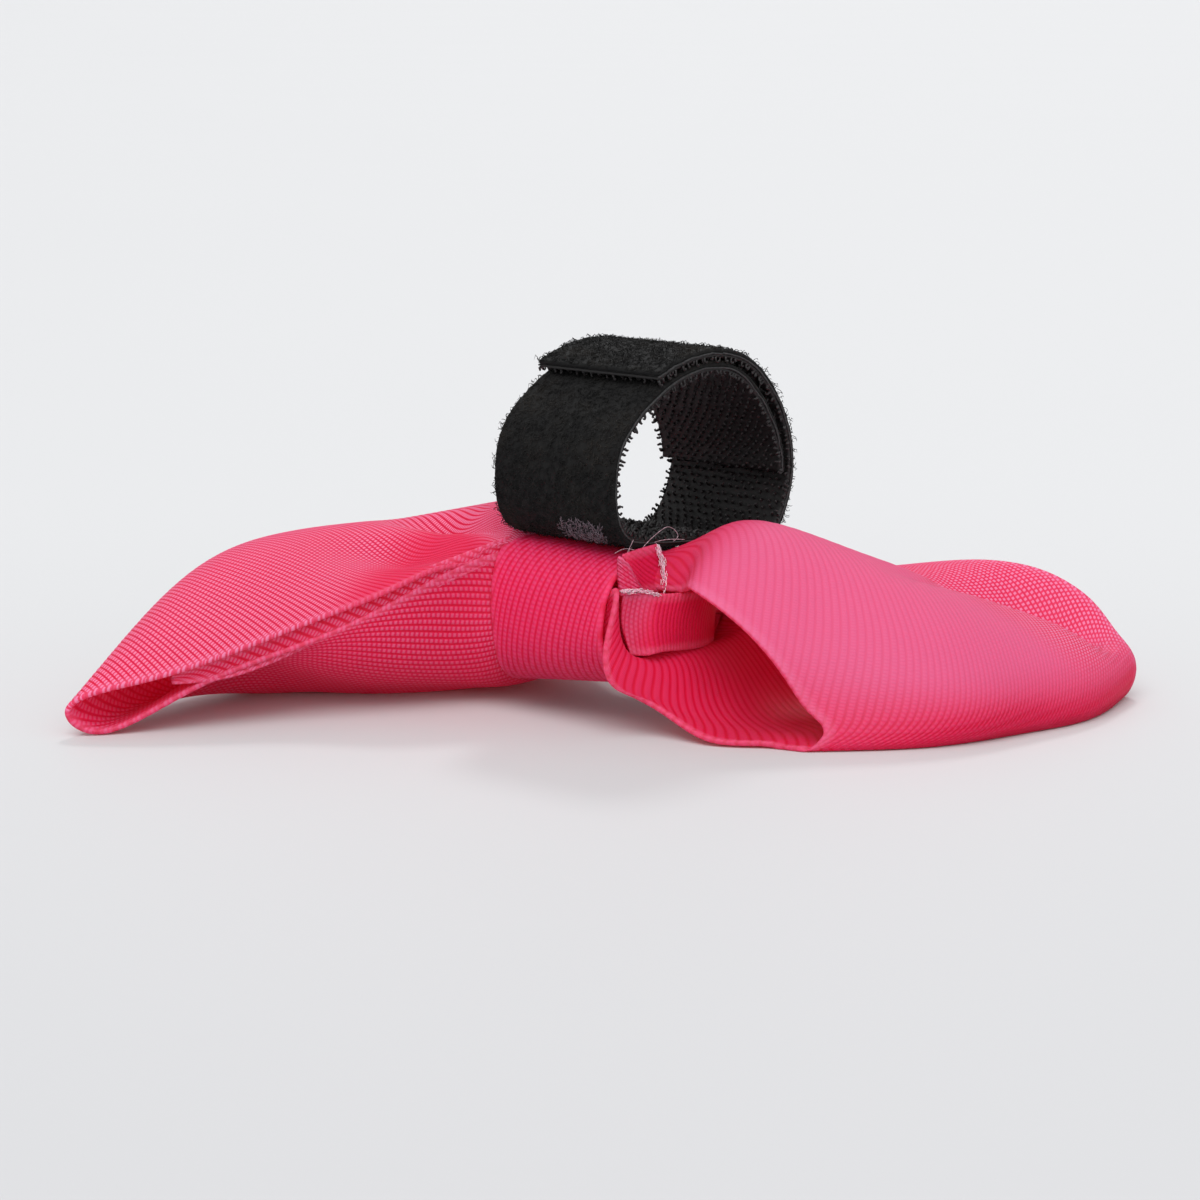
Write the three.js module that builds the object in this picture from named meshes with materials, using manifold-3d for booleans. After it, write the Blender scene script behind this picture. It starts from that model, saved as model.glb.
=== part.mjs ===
// A ribbon bow with a short hook-and-loop strap closed into a ring on its back.
// Millimetres, +Z up. The bow lies on its face, so the strap stands on top.
// X is the strap ring's axis. The knot band and the strap both wrap round it, in the YZ plane.
import * as THREE from "three";
import { mergeVertices } from "three/addons/utils/BufferGeometryUtils.js";
import Module from "manifold-3d";

const wasm = await Module();
wasm.setup();

// Ribbon
const RIBBON_THICK = 0.8;
const LOOP_STEPS_ALONG = 44;
const LOOP_STEPS_ACROSS = 12;

// Knot. Its section is a rounded box that leans a little, high on the near side.
const KNOT_CENTRE = [2, 12.9];
const KNOT_HALF_DEPTH = 13.2;
const KNOT_HALF_HEIGHT = 8.1;
const KNOT_SQUARENESS = 2.6;
const KNOT_TILT_DEG = -7;
const BAND_WIDTH = 20;
const BAND_THICK = 0.9;
const BAND_STEPS = 60;
const WAIST_LENGTH = 20.6;
const WAIST_GAP = 0.4;
const WAIST_PLEATS = 9;
const WAIST_PLEAT_DEPTH = 1.6;
const WAIST_STEPS = 90;

// Thread
const GATHER_THREAD = 0.6;
const GATHER_TURNS = 3;
const GATHER_PITCH = 1.3;
const GATHER_ROOM = 0.3;
const SEAM_THREAD = 0.45;
const SEAM_STITCHES = 7;
const SEAM_STITCH_HALF = 0.9;
const SEAM_HALF_LENGTH = 8.4;
const TACK_THREAD = 0.45;
const TACK_STITCHES = 6;
const TACK_STITCH_HALF = 0.25;
const TACK_HALF_LENGTH = 7;
const TACK_AT = [-8.6, 22.1];

// Strap: a pile tape outside, backed by a hook tape inside.
const STRAP_WIDTH = 20;
const PILE_TAPE = 0.5;
const HOOK_TAPE = 0.4;
const TAPE_GAP = 0.2;
const CUT_GAP = 0.3;
const STRAP_STEP = 1.1;

// The strap's middle line in the YZ plane, as one strip from end to end: the inner arm's free end,
// over the top, down the near side, along the knot, up the far side, over the top again to the tab.
const STRAP_LINE = [
  [22.9, 28.6], [22.3, 32.0], [20.6, 35.6], [17.8, 39.2], [14.4, 41.9], [10.4, 43.2],
  [5.8, 43.1], [1.6, 42.0], [-2.6, 39.9], [-6.3, 37.2], [-8.8, 34.0], [-9.6, 30.4],
  [-9.2, 26.8], [-7.2, 24.0], [-3.6, 22.8], [2, 22.3], [8, 21.7], [12.4, 20.6],
  [16.4, 19.6], [20.0, 20.2], [22.6, 22.7], [24.2, 26.2], [24.7, 29.4], [24.2, 33.0],
  [22.4, 37.0], [19.4, 40.8], [15.5, 43.6], [10.8, 44.9], [5.8, 44.9], [1.9, 44.1], [-1.4, 43.0],
];

// Where the strap is cut into its bodies, as numbers of line points from the inner arm's end.
const INNER_ARM_TO = 12.5;
const BASE_TO = 19;
const OUTER_ARM_TO = 27;

const RAD = Math.PI / 180;

const cloth = (color) => new THREE.MeshStandardMaterial({ color, roughness: 0.62, metalness: 0 });
const pinkRibbon = cloth(0xee3a70);
const pinkBand = cloth(0xed2f5c);
const pinkThread = cloth(0xd8708c);
const blackPile = new THREE.MeshStandardMaterial({ color: 0x1c1c1d, roughness: 0.95, metalness: 0 });
const blackHook = new THREE.MeshStandardMaterial({ color: 0x0f0d0e, roughness: 0.45, metalness: 0 });
const greyThread = new THREE.MeshStandardMaterial({ color: 0x7d6a78, roughness: 0.6, metalness: 0 });

const part = new THREE.Group();

function addPiece(name, geometry, material) {
  const mesh = new THREE.Mesh(geometry, material);
  mesh.name = name;
  part.add(mesh);
}

function signedVolume(geometry) {
  const p = geometry.attributes.position;
  const index = geometry.index.array;
  const corner = [new THREE.Vector3(), new THREE.Vector3(), new THREE.Vector3()];
  let volume = 0;
  for (let i = 0; i < index.length; i += 3) {
    corner.forEach((v, k) => v.fromBufferAttribute(p, index[i + k]));
    volume += corner[0].dot(corner[1].clone().cross(corner[2])) / 6;
  }
  return volume;
}

// A closed body through rings of points. Each ring is a flat strip: its points run out on one side
// and back on the other, so the ends close with a strip of quads.
function stripBody(rings) {
  const positions = rings.flat().flatMap((p) => [p.x, p.y, p.z]);
  const count = rings[0].length;
  const faces = [];
  const addQuad = (a, b, c, d) => faces.push(a, b, c, a, c, d);
  for (let i = 0; i < rings.length - 1; i += 1) {
    for (let j = 0; j < count; j += 1) {
      const a = i * count + j;
      const b = i * count + ((j + 1) % count);
      addQuad(a, b, b + count, a + count);
    }
  }
  const end = (rings.length - 1) * count;
  for (let j = 0; j < count / 2 - 1; j += 1) {
    const back = count - 1 - j;
    addQuad(j, back, back - 1, j + 1);
    addQuad(end + j, end + j + 1, end + back - 1, end + back);
  }
  const geometry = new THREE.BufferGeometry();
  geometry.setAttribute("position", new THREE.Float32BufferAttribute(positions, 3));
  geometry.setIndex(faces);
  if (signedVolume(geometry) < 0) {
    geometry.index.array.reverse();
  }
  geometry.computeVertexNormals();
  return geometry;
}

function toSolid(geometry) {
  const bare = geometry.clone();
  bare.deleteAttribute("normal");
  bare.deleteAttribute("uv");
  const merged = mergeVertices(bare);
  const vertProperties = new Float32Array(merged.attributes.position.array);
  const triVerts = new Uint32Array(merged.index.array);
  return new wasm.Manifold(new wasm.Mesh({ numProp: 3, vertProperties, triVerts }));
}

function toGeometry(solid) {
  const mesh = solid.getMesh();
  const geometry = new THREE.BufferGeometry();
  geometry.setAttribute("position", new THREE.BufferAttribute(mesh.vertProperties, 3));
  geometry.setIndex(new THREE.BufferAttribute(mesh.triVerts, 1));
  geometry.computeVertexNormals();
  return geometry;
}

// Ribbon loops. Each row of points runs across the ribbon, from its near edge to its far edge.
// The rows start at the knot, follow the lower layer out, turn at the end fold and come back on top.
const RIGHT_LOOP = [
  [[11, -10, 12], [11, -7.5, 7.5], [11, 3, 5.4], [11, 11, 6.6], [11, 14.5, 11]],
  [[14.5, -8.8, 3.4], [16, -4, 2.4], [16.5, 6, 2], [16.5, 16, 3.6], [16.5, 22, 8]],
  [[22.5, -6.2, 0.8], [24.5, 1.5, 0.5], [26, 12, 0.4], [26, 24, 1], [25, 33, 4]],
  [[30, -3, 0.5], [34.5, 6, 0.3], [37.5, 19, 0.3], [37.5, 31, 0.3], [35.5, 42, 1.5]],
  [[34.4, -0.8, 0.6], [43, 9.5, 0.3], [46, 23, 0.3], [46, 37, 0.3], [43.8, 49, 0.6]],
  [[35.4, 0.2, 2.1], [45.2, 11.5, 2.4], [47.8, 24.5, 2.6], [47.6, 38, 2.6], [45, 50.5, 3.2]],
  [[33.6, 0, 4.4], [42.8, 11.5, 7.5], [45.3, 25, 8.3], [44.6, 39, 6.6], [42.3, 51, 7]],
  [[30.5, -1.2, 8.6], [35.5, 9.5, 14.5], [37.5, 25, 14.2], [38, 41, 9.5], [37, 51.5, 11]],
  [[25.5, -3.3, 14.4], [26, 8, 20.5], [28.5, 23, 18.2], [30, 38, 13.5], [29, 47, 14.8]],
  [[19, -5.8, 18.6], [17, 5.5, 24.6], [19, 16, 21.4], [20, 27, 17], [20, 33, 16]],
  [[12, -8, 17.5], [11, -2.5, 21.4], [11, 4, 21.6], [11, 10, 19.6], [11, 14.5, 15]],
];
const LEFT_LOOP = [
  [[-10.8, -10.4, 19.3], [-10.8, -11, 10.5], [-10.8, -6, 4], [-10.8, 8, 4], [-10.8, 14.5, 9]],
  [[-16, -21, 14.6], [-17, -18.5, 4.6], [-18, -9, 1.6], [-18, 4, 1], [-18, 14, 3]],
  [[-23, -31, 9.6], [-26, -27, 4.5], [-27, -17, 1.8], [-28, -5, 0.3], [-28, 6, 0.6]],
  [[-30, -43.5, 4.8], [-34, -36, 4.4], [-35, -25, 2.2], [-36, -13, 0.3], [-36, 0, 0.3]],
  [[-35.5, -52, 0.5], [-39.5, -42, 1.6], [-42, -28, 1.5], [-42.5, -15, 0.3], [-41, -2, 0.3]],
  [[-38, -55.5, 2.8], [-42.5, -43, 6.5], [-45.5, -30, 8.3], [-46, -15, 8.5], [-44, -1, 8.5]],
  [[-35.5, -52.5, 5.6], [-38.5, -42, 12.6], [-41, -30, 17.4], [-41.5, -15.5, 17.8], [-40, -1, 17]],
  [[-30.5, -46, 7.4], [-33.5, -38, 14.6], [-35.5, -27.5, 20.2], [-36, -13, 20.3], [-35, 1, 19]],
  [[-23, -31, 12.2], [-26, -27, 17.2], [-28.5, -19.5, 21.7], [-29, -7, 21.3], [-28, 5, 19.5]],
  [[-15.5, -21, 16.8], [-17, -17, 19.8], [-18.5, -9.5, 23], [-19, 1, 23.6], [-19, 11, 19]],
  [[-10.8, -10, 21], [-10.8, -5, 23.6], [-10.8, 2, 24], [-10.8, 9, 22], [-10.8, 14.5, 16]],
];

function smoothLine(points) {
  return new THREE.CatmullRomCurve3(points, false, "catmullrom", 0.5);
}

function ribbonGrid(net) {
  const columns = net[0].map((_, j) => smoothLine(net.map((row) => new THREE.Vector3(...row[j]))));
  const grid = [];
  for (let i = 0; i <= LOOP_STEPS_ALONG; i += 1) {
    const across = smoothLine(columns.map((column) => column.getPoint(i / LOOP_STEPS_ALONG)));
    const row = [];
    for (let j = 0; j <= LOOP_STEPS_ACROSS; j += 1) {
      row.push(across.getPoint(j / LOOP_STEPS_ACROSS));
    }
    grid.push(row);
  }
  return grid;
}

// Gives a grid of points a thickness along its own normals, half to each side.
// Whatever would sink below the table is pressed flat on it.
function ribbonBody(grid) {
  const last = grid.length - 1;
  const across = grid[0].length - 1;
  return stripBody(grid.map((row, i) => {
    const offsets = row.map((_, j) => {
      const before = grid[Math.max(i - 1, 0)][j];
      const after = grid[Math.min(i + 1, last)][j];
      const left = row[Math.max(j - 1, 0)];
      const right = row[Math.min(j + 1, across)];
      const normal = after.clone().sub(before).cross(right.clone().sub(left)).normalize();
      return normal.multiplyScalar(RIBBON_THICK / 2);
    });
    const outer = row.map((p, j) => p.clone().add(offsets[j]));
    const inner = row.map((p, j) => p.clone().sub(offsets[j]));
    for (const p of [...outer, ...inner]) {
      p.z = Math.max(p.z, 0);
    }
    return [...outer, ...inner.reverse()];
  }));
}

addPiece("right_loop", ribbonBody(ribbonGrid(RIGHT_LOOP)), pinkRibbon);
addPiece("left_loop", ribbonBody(ribbonGrid(LEFT_LOOP)), pinkRibbon);

// A point on the knot's outline, a superellipse grown outwards by an offset and then leaned.
function knotPoint(angle, grow) {
  const c = Math.cos(angle);
  const s = Math.sin(angle);
  const power = 2 / KNOT_SQUARENESS;
  const y = (KNOT_HALF_DEPTH + grow) * Math.sign(c) * Math.abs(c) ** power;
  const z = (KNOT_HALF_HEIGHT + grow) * Math.sign(s) * Math.abs(s) ** power;
  const tilt = KNOT_TILT_DEG * RAD;
  return new THREE.Vector2(
    KNOT_CENTRE[0] + y * Math.cos(tilt) - z * Math.sin(tilt),
    KNOT_CENTRE[1] + y * Math.sin(tilt) + z * Math.cos(tilt),
  );
}

// The knot's outline, with its radius rising and falling by the pleats' depth where it has pleats.
function knotOutline(grow, steps, pleatDepth = 0) {
  return Array.from({ length: steps }, (_, i) => {
    const angle = (i / steps) * 2 * Math.PI;
    return knotPoint(angle, grow + (pleatDepth / 2) * (Math.cos(WAIST_PLEATS * angle) - 1));
  });
}

// Turns an extrusion's own X, Y and Z into the part's Y, Z and X.
const sectionToRow = new THREE.Matrix4().makeBasis(
  new THREE.Vector3(0, 1, 0),
  new THREE.Vector3(0, 0, 1),
  new THREE.Vector3(1, 0, 0),
);

function alongX(outline, hole, width) {
  const shape = new THREE.Shape(outline);
  if (hole) {
    shape.holes.push(new THREE.Path(hole));
  }
  const geometry = new THREE.ExtrudeGeometry(shape, { depth: width, bevelEnabled: false });
  return geometry.translate(0, 0, -width / 2).applyMatrix4(sectionToRow);
}

const bandInside = knotOutline(-BAND_THICK, BAND_STEPS);
addPiece("knot_band", alongX(knotOutline(0, BAND_STEPS), bandInside, BAND_WIDTH), pinkBand);

// The gathered waist, with a groove in its middle that the gathering thread has pulled in.
const waistGrow = -BAND_THICK - WAIST_GAP;
const grooveGrow = waistGrow - WAIST_PLEAT_DEPTH - GATHER_THREAD - 2 * GATHER_ROOM;
const grooveWidth = (GATHER_TURNS + 2) * GATHER_PITCH;
const waistOutline = knotOutline(waistGrow, WAIST_STEPS, WAIST_PLEAT_DEPTH);
const waistBlank = toSolid(alongX(waistOutline, null, WAIST_LENGTH));
const groove = toSolid(alongX(knotOutline(1, BAND_STEPS), knotOutline(grooveGrow, BAND_STEPS), grooveWidth));
addPiece("gathered_waist", toGeometry(waistBlank.subtract(groove)), pinkRibbon);

// A round thread along a smooth line through points.
function threadAlong(points, diameter, steps) {
  const section = new THREE.Shape();
  section.absarc(0, 0, diameter / 2, 0, 2 * Math.PI, false);
  return new THREE.ExtrudeGeometry(section, {
    steps,
    curveSegments: 4,
    bevelEnabled: false,
    extrudePath: new THREE.CatmullRomCurve3(points),
  });
}

const gatherGrow = grooveGrow + GATHER_ROOM + GATHER_THREAD / 2;
const gatherPoints = [];
for (let i = 0; i <= GATHER_TURNS * 16; i += 1) {
  const turn = i / 16;
  const at = knotPoint(turn * 2 * Math.PI, gatherGrow);
  gatherPoints.push(new THREE.Vector3((turn - GATHER_TURNS / 2) * GATHER_PITCH, at.x, at.y));
}
addPiece("gathering_thread", threadAlong(gatherPoints, GATHER_THREAD, GATHER_TURNS * 20), pinkThread);

// A zigzag seam along X. wave(u) gives the thread's [y, z] for u swinging between -1 and 1.
function zigzagPoints(halfLength, stitches, wave) {
  const points = [];
  for (let i = 0; i <= stitches * 4; i += 1) {
    const x = -halfLength + (2 * halfLength * i) / (stitches * 4);
    const [y, z] = wave(Math.sin((i * Math.PI) / 2));
    points.push(new THREE.Vector3(x, y, z));
  }
  return points;
}

// The band's seam, on its far side.
const seamPoints = zigzagPoints(SEAM_HALF_LENGTH, SEAM_STITCHES, (u) => {
  const at = knotPoint((u * SEAM_STITCH_HALF) / KNOT_HALF_HEIGHT, SEAM_THREAD / 2 + 0.15);
  return [at.x, at.y];
});
addPiece("band_seam_thread", threadAlong(seamPoints, SEAM_THREAD, SEAM_STITCHES * 8), pinkThread);

// The thread that tacks the strap to the knot, in the wedge between them on the near side.
const tackPoints = zigzagPoints(TACK_HALF_LENGTH, TACK_STITCHES, (u) => [
  TACK_AT[0] + u * TACK_STITCH_HALF,
  TACK_AT[1] - u * TACK_STITCH_HALF * 0.4,
]);
addPiece("strap_tack_thread", threadAlong(tackPoints, TACK_THREAD, TACK_STITCHES * 8), greyThread);

// Strap. A stretch of the strap's line, from one line point to another, as a tape that lies between
// two offsets from it. The strip runs anticlockwise seen from +X, so its left side is the inside.
const strapCurve = smoothLine(STRAP_LINE.map(([y, z]) => new THREE.Vector3(0, y, z)));

function tape(from, to, offsetLow, offsetHigh) {
  const last = STRAP_LINE.length - 1;
  const length = strapCurve.getLength() * ((to - from) / last);
  const steps = Math.round(length / STRAP_STEP);
  const rings = [];
  for (let i = 0; i <= steps; i += 1) {
    const u = (from + ((to - from) * i) / steps) / last;
    const p = strapCurve.getPoint(u);
    const t = strapCurve.getTangent(u);
    const outward = new THREE.Vector3(0, t.z, -t.y);
    const corner = (x, offset) => p.clone().addScaledVector(outward, offset).setX(x);
    rings.push([
      corner(-STRAP_WIDTH / 2, offsetHigh),
      corner(STRAP_WIDTH / 2, offsetHigh),
      corner(STRAP_WIDTH / 2, offsetLow),
      corner(-STRAP_WIDTH / 2, offsetLow),
    ]);
  }
  return stripBody(rings);
}

const lineStep = strapCurve.getLength() / (STRAP_LINE.length - 1);
const cut = CUT_GAP / lineStep / 2;
const STRETCHES = [
  ["inner_arm", 0, INNER_ARM_TO - cut],
  ["base", INNER_ARM_TO + cut, BASE_TO - cut],
  ["outer_arm", BASE_TO + cut, OUTER_ARM_TO - cut],
  ["tab", OUTER_ARM_TO + cut, STRAP_LINE.length - 1],
];
for (const [name, from, to] of STRETCHES) {
  addPiece(`strap_${name}_pile`, tape(from, to, TAPE_GAP / 2, TAPE_GAP / 2 + PILE_TAPE), blackPile);
  addPiece(`strap_${name}_hook`, tape(from, to, -TAPE_GAP / 2 - HOOK_TAPE, -TAPE_GAP / 2), blackHook);
}

// The origin is under the middle of the part, on the table.
const box = new THREE.Box3().setFromObject(part);
part.position.set(-(box.min.x + box.max.x) / 2, -(box.min.y + box.max.y) / 2, -box.min.z);

export default part;
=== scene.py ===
"""A ribbon bow that lies on its face, with a hook-and-loop strap closed into a ring on its back.

Design numbers are in millimetres about the foot of the knot: the point on the table
under the middle of the knot band's width, KNOT_CENTRE[0] in front of its centre.
"""

import math

import bmesh
import bpy
import numpy as np
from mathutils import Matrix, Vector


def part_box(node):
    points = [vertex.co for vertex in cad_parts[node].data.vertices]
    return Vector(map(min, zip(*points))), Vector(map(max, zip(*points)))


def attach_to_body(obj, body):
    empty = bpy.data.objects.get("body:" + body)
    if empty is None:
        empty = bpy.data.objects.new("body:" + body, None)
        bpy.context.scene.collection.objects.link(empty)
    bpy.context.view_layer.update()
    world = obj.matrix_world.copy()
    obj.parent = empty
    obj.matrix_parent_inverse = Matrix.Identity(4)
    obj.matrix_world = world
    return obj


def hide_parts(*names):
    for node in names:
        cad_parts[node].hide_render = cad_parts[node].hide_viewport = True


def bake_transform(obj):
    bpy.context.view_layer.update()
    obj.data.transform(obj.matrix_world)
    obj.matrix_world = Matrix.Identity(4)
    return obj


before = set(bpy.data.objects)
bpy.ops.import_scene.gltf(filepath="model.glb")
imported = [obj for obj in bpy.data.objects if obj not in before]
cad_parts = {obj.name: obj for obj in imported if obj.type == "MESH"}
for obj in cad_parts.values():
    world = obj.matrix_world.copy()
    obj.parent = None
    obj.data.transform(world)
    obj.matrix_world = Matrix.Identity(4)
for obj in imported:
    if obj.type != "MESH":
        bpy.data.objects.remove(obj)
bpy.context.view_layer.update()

MM = 0.001
UP = np.array([0.0, 0.0, 1.0])

# Ribbon
RIBBON_WIDTH = 50
RIBBON_HALF_THICK = 0.32
SELVEDGE_RADIUS = 0.42
RIB_HEIGHT = 0.06
RIB_SAMPLES = 6
PICK_PITCH = 0.6
ACROSS_STEP = 0.75
RIB_FADE = 1.5
FLOOR_GAP = 0.02

# Knot, on the centre and outline of the CAD model
KNOT_CENTRE = (2, 12.9)
KNOT_HALF_DEPTH = 13.2
KNOT_HALF_HEIGHT = 8.1
KNOT_SQUARENESS = 2.6
KNOT_TILT_DEG = -7
BAND_WIDTH = 20
BAND_THICK = 0.9
WAIST_LENGTH = 20.6
WAIST_PLEATS = 9
BAND_LEAN_DEG = 6.5
WAIST_INSET = 2.4
WAIST_PLEAT_DEPTH = 0.7
WAIST_CLOSES_AT = 8.2
WAIST_CLOSES_OVER = 2.1

# Strap, as in the CAD model
STRAP_WIDTH = 20
PILE_TAPE = 0.5
HOOK_TAPE = 0.4
TAPE_GAP = 0.2

STRAP_LINE = [
    (22.9, 28.6), (22.3, 32.0), (20.6, 35.6), (17.8, 39.2), (14.4, 41.9), (10.4, 43.2),
    (5.8, 43.1), (1.6, 42.0), (-2.6, 39.9), (-6.3, 37.2), (-8.8, 34.0), (-9.6, 30.4),
    (-9.2, 26.8), (-7.2, 24.0), (-3.6, 22.8), (2, 22.3), (8, 21.7), (12.4, 20.6),
    (16.4, 19.6), (20.0, 20.2), (22.6, 22.7), (24.2, 26.2), (24.7, 29.4), (24.2, 33.0),
    (22.4, 37.0), (19.4, 40.8), (15.5, 43.6), (10.8, 44.9), (5.8, 44.9), (1.9, 44.1), (-1.4, 43.0),
]
INNER_ARM_TO = 12.5
BASE_TO = 19
OUTER_ARM_TO = 27
LINE_END = len(STRAP_LINE) - 1

# Ribbon loops. A row of points runs across the ribbon, from its near edge to its far edge.
# The rows start at the knot, follow the lower layer out, turn at the end fold and come back on top.
RIGHT_LOOP = [
    [(10.6, -9.7, 17.2), (10.4, -8.6, 9.6), (10.8, -1, 8.6), (11, 9, 8.6), (11, 14.5, 11.5)],
    [(11.2, -12.2, 11.2), (12.6, -7.6, 9.0), (13.2, 0, 8.9), (12.8, 9, 9.1), (12.5, 17, 11.5)],
    [(14, -9.4, 4.9), (16, -4.8, 4.4), (16.8, 5, 4.4), (16.8, 15, 5.2), (16.5, 22, 8.8)],
    [(23, -7.0, 0.9), (24.5, 1.5, 0.5), (26, 12, 0.4), (26, 24, 1), (25, 33, 4)],
    [(30, -3, 0.5), (34.5, 6, 0.3), (37.5, 19, 0.3), (37.5, 31, 0.3), (35.5, 42, 1.5)],
    [(34.6, -1, 0.6), (43, 9.3, 0.3), (47.6, 23.5, 0.3), (49.2, 36.5, 0.3), (45.4, 49.3, 0.5)],
    [(35.4, 0.2, 2.1), (45, 11.2, 2.4), (48.8, 24.5, 2.8), (49.8, 37, 3.2), (46.2, 50, 3.6)],
    [(33.6, 0, 4.4), (43, 11.2, 7.6), (46, 25, 8.4), (46.2, 39, 7.6), (43, 51, 7.4)],
    [(30.5, -1.2, 8.6), (35.5, 9.5, 14.5), (37.5, 25, 14.2), (38.6, 41, 10.8), (37.4, 51, 12.2)],
    [(25.5, -3.3, 14.4), (26, 8, 20.5), (28.5, 23, 18.2), (30, 38, 14.6), (29, 47, 15.6)],
    [(18, -4.2, 18.4), (17, 5.5, 24.6), (19, 16, 21.4), (20, 27, 17), (20, 33, 16)],
    [(11.8, -2.6, 17.4), (11, -1.0, 20.8), (11, 4, 21.4), (11, 10, 19.6), (11, 14.5, 15)],
]
LEFT_LOOP = [
    [(-10.8, -10.4, 19.3), (-10.8, -11, 10.5), (-10.8, -6, 4), (-10.8, 8, 4), (-10.8, 14.5, 9)],
    [(-16, -21, 14.6), (-17, -19.3, 7.2), (-18, -7, 1.5), (-18, 4, 1.2), (-18, 14, 3)],
    [(-23, -31, 9.6), (-26, -27.9, 6.4), (-27, -14, 0.5), (-28, -4, 0.3), (-28, 6, 0.6)],
    [(-30, -43.5, 4.8), (-34, -36, 5.3), (-35, -23.5, 1.2), (-36, -12, 0.3), (-36, 0, 0.3)],
    [(-35.5, -52, 0.5), (-39.5, -42, 1.6), (-42, -28, 1.5), (-42.5, -15, 0.3), (-41, -2, 0.3)],
    [(-38, -55.5, 2.8), (-42.5, -43, 6.5), (-45.5, -30, 8.3), (-46, -15, 8.5), (-44, -1, 8.5)],
    [(-35.5, -52.5, 5.6), (-38.5, -42, 12.6), (-41, -30, 17.4), (-41.5, -15.5, 17.8), (-40, -1, 17)],
    [(-30.5, -46, 7.4), (-33.5, -38, 14.6), (-35.5, -27.5, 20.2), (-36, -13, 20.3), (-35, 1, 19)],
    [(-23, -31, 12.2), (-26, -27, 17.2), (-28.5, -19.5, 21.7), (-29, -7, 21.3), (-28, 5, 19.5)],
    [(-15.5, -21, 16.8), (-17, -17, 19.8), (-18.5, -9.5, 23), (-19, 1, 23.6), (-19, 11, 19)],
    [(-10.8, -10, 21), (-10.8, -5, 23.6), (-10.8, 2, 24), (-10.8, 9, 22), (-10.8, 14.5, 16)],
]

band_low, band_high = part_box("knot_band")
ORIGIN = np.array([(band_low.x + band_high.x) / 2, (band_low.y + band_high.y) / 2 - KNOT_CENTRE[0] * MM, 0.0])


def placed(points):
    """Points in millimetres about the knot's foot, in metres in the row frame."""
    return np.asarray(points, float) * MM + ORIGIN


# ---------------------------------------------------------------- curves and surfaces

def unit(v):
    return v / np.maximum(np.linalg.norm(v, axis=-1, keepdims=True), 1e-12)


def spline(points, knots, at):
    """The natural cubic spline through points, which stand at knots, read at the places at."""
    points, knots, at = np.asarray(points, float), np.asarray(knots, float), np.asarray(at, float)
    count, gaps = len(points), np.diff(knots)
    matrix, right = np.eye(count), np.zeros((count,) + points.shape[1:])
    for i in range(1, count - 1):
        matrix[i, i - 1:i + 2] = gaps[i - 1], 2 * (gaps[i - 1] + gaps[i]), gaps[i]
        right[i] = 6 * ((points[i + 1] - points[i]) / gaps[i] - (points[i] - points[i - 1]) / gaps[i - 1])
    bend = np.linalg.solve(matrix, right.reshape(count, -1)).reshape(right.shape)
    i = np.clip(np.searchsorted(knots, at, "right") - 1, 0, count - 2)
    shape = (-1,) + (1,) * (points.ndim - 1)
    gap = gaps[i].reshape(shape)
    b = ((at - knots[i]) / gaps[i]).reshape(shape)
    a = 1 - b
    return a * points[i] + b * points[i + 1] + ((a**3 - a) * bend[i] + (b**3 - b) * bend[i + 1]) * gap**2 / 6


def chord_knots(points):
    """Knots as far apart as the points are, on average over their second axis."""
    steps = np.linalg.norm(np.diff(points, axis=0), axis=-1)
    steps = steps.reshape(len(steps), -1).mean(axis=1)
    return np.concatenate([[0], np.cumsum(steps)])


def catmull(points, at):
    """The uniform Catmull-Rom curve through points, with the ends carried on straight."""
    points, at = np.asarray(points, float), np.asarray(at, float)
    padded = np.vstack([2 * points[0] - points[1], points, 2 * points[-1] - points[-2]])
    i = np.clip(np.floor(at).astype(int), 0, len(points) - 2)
    t = (at - i)[:, None]
    p0, p1, p2, p3 = padded[i], padded[i + 1], padded[i + 2], padded[i + 3]
    return 0.5 * (2 * p1 + (p2 - p0) * t + (2 * p0 - 5 * p1 + 4 * p2 - p3) * t**2
                  + (3 * p1 - p0 - 3 * p2 + p3) * t**3)


# ---------------------------------------------------------------- meshes

def add_mesh(name, points, faces, material, weave=None, painted_light_strengths=None):
    """A smooth mesh piece from points in millimetres. weave and the strengths of the painted light are kept
    on its points.
    """
    mesh = bpy.data.meshes.new(name)
    mesh.from_pydata(placed(points).tolist(), [], faces)
    mesh.polygons.foreach_set("use_smooth", [True] * len(mesh.polygons))
    if weave is not None:
        mesh.attributes.new("weave", "FLOAT_VECTOR", "POINT").data.foreach_set("vector", np.ravel(weave))
    if painted_light_strengths is not None:
        mesh.attributes.new("painted_light_strengths", "FLOAT_VECTOR", "POINT").data.foreach_set("vector", np.ravel(painted_light_strengths))
    mesh.materials.append(material)
    mesh.update()
    turned = bmesh.new()
    turned.from_mesh(mesh)
    if turned.calc_volume(signed=True) < 0:
        mesh.flip_normals()
    turned.free()
    piece = bpy.data.objects.new(name, mesh)
    bpy.context.scene.collection.objects.link(piece)
    return piece


def grid_faces(rows, columns, closed):
    """Quads between rows of points. closed joins each row's last point to its first."""
    index = np.arange(rows * columns).reshape(rows, columns)
    beside = np.roll(index, -1, axis=1) if closed else index[:, 1:]
    here = index if closed else index[:, :-1]
    return np.stack([here[:-1], beside[:-1], beside[1:], here[1:]], axis=-1).reshape(-1, 4)


def welded(points, faces, *values):
    """Joins points that coincide, and drops what that leaves of flat faces."""
    _, first, where = np.unique(np.round(points, 4), axis=0, return_index=True, return_inverse=True)
    where = where.ravel()
    kept = []
    for face in where[faces].tolist():
        corners = [c for k, c in enumerate(face) if c != face[k - 1]]
        if len(set(corners)) == len(corners) and len(corners) > 2:
            kept.append(corners)
    return points[first], kept, *(v[first] for v in values)


def ribs(weave):
    """How high the twill's ribs stand, from 0 in a groove to 1."""
    return np.abs(np.cos(np.pi * weave))


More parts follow.
